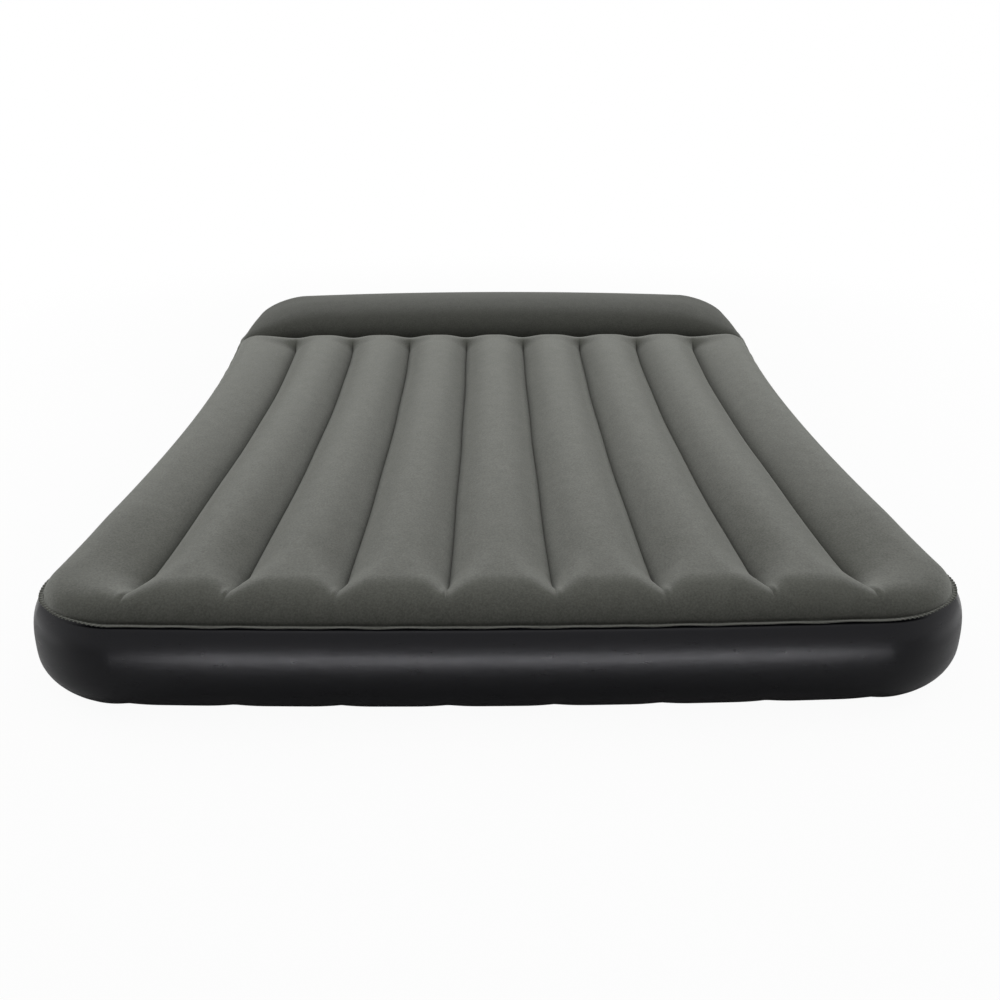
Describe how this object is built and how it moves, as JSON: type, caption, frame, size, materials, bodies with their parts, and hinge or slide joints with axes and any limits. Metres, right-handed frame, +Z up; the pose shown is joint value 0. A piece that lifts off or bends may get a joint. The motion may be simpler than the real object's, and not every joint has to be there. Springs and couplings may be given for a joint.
{
  "type": "air mattress",
  "caption": "Inflatable bed with a flocked channelled top, a raised pillow roll across the head, bulging black side walls and a built-in electric pump.",
  "frame": {"origin": "on the floor under the middle of the bed", "axes": "+Z up, +Y along the bed from foot to pillow, +X to the right seen from the foot"},
  "size_m": [1.52, 2.03, 0.25],
  "materials": {
    "flocked_vinyl": "matt velvety flock, olive grey",
    "black_vinyl": "satin black vinyl",
    "inner_vinyl": "plain dark vinyl",
    "black_plastic": "fine matt black",
    "grey_plastic": "plain grey moulding",
    "black_rubber": "soft matt rubber",
    "plated_steel": "bright plated",
    "wound_core": "copper winding on a steel core",
    "motor_paint": "grey plated can"
  },
  "bodies": {
    "mattress": {"bottom_sheet": "black_vinyl", "channel_beam_1": "inner_vinyl", "channel_beam_2": "inner_vinyl", "channel_beam_3": "inner_vinyl", "channel_beam_4": "inner_vinyl", "channel_beam_5": "inner_vinyl", "channel_beam_6": "inner_vinyl", "channel_beam_7": "inner_vinyl", "channel_beam_8": "inner_vinyl", "cord_gland": "black_rubber", "cord_well": "black_plastic", "diverter_body": "grey_plastic", "door_pin": "plated_steel", "faceplate": "black_plastic", "flap_pin": "plated_steel", "motor_can": "motor_paint", "motor_cradle": "black_rubber", "motor_end_bell": "grey_plastic", "outlet_duct": "grey_plastic", "panel_screw_1": "plated_steel", "panel_screw_2": "plated_steel", "panel_screw_3": "plated_steel", "panel_screw_4": "plated_steel", "pillow_beam": "inner_vinyl", "pillow_sheet": "flocked_vinyl", "pump_housing": "grey_plastic", "pump_wall": "black_vinyl", "side_wall": "black_vinyl", "top_sheet": "flocked_vinyl", "volute_casing": "grey_plastic", "volute_cover": "grey_plastic", "wall_gasket": "black_rubber"},
    "selector": {"control_dial": "black_plastic", "dial_spindle": "grey_plastic", "diverter_drum": "grey_plastic"},
    "cord_door": {"cord_door": "black_plastic"},
    "rotor": {"motor_shaft": "plated_steel", "armature": "wound_core", "impeller": "grey_plastic"},
    "outlet_flap": {"outlet_flap": "black_rubber"}
  },
  "joints": [
    {"name": "selector_turn", "type": "hinge", "parent": "mattress", "child": "selector", "pos_m": [0.742, 0.602, 0.078], "axis": [1, 0, 0], "range_deg": [-90, 90]},
    {"name": "door_hinge", "type": "hinge", "parent": "mattress", "child": "cord_door", "pos_m": [0.7488, 0.676, 0.0433], "axis": [0, 1, 0], "range_deg": [0, 110]},
    {"name": "rotor_spin", "type": "hinge", "parent": "mattress", "child": "rotor", "pos_m": [0.668, 0.64, 0.075], "axis": [0, 1, 0], "continuous": true},
    {"name": "flap_hinge", "type": "hinge", "parent": "mattress", "child": "outlet_flap", "pos_m": [0.6335, 0.602, 0.1012], "axis": [0, 1, 0], "range_deg": [0, 50], "stiffness_Nm_per_rad": 0.003}
  ]
}
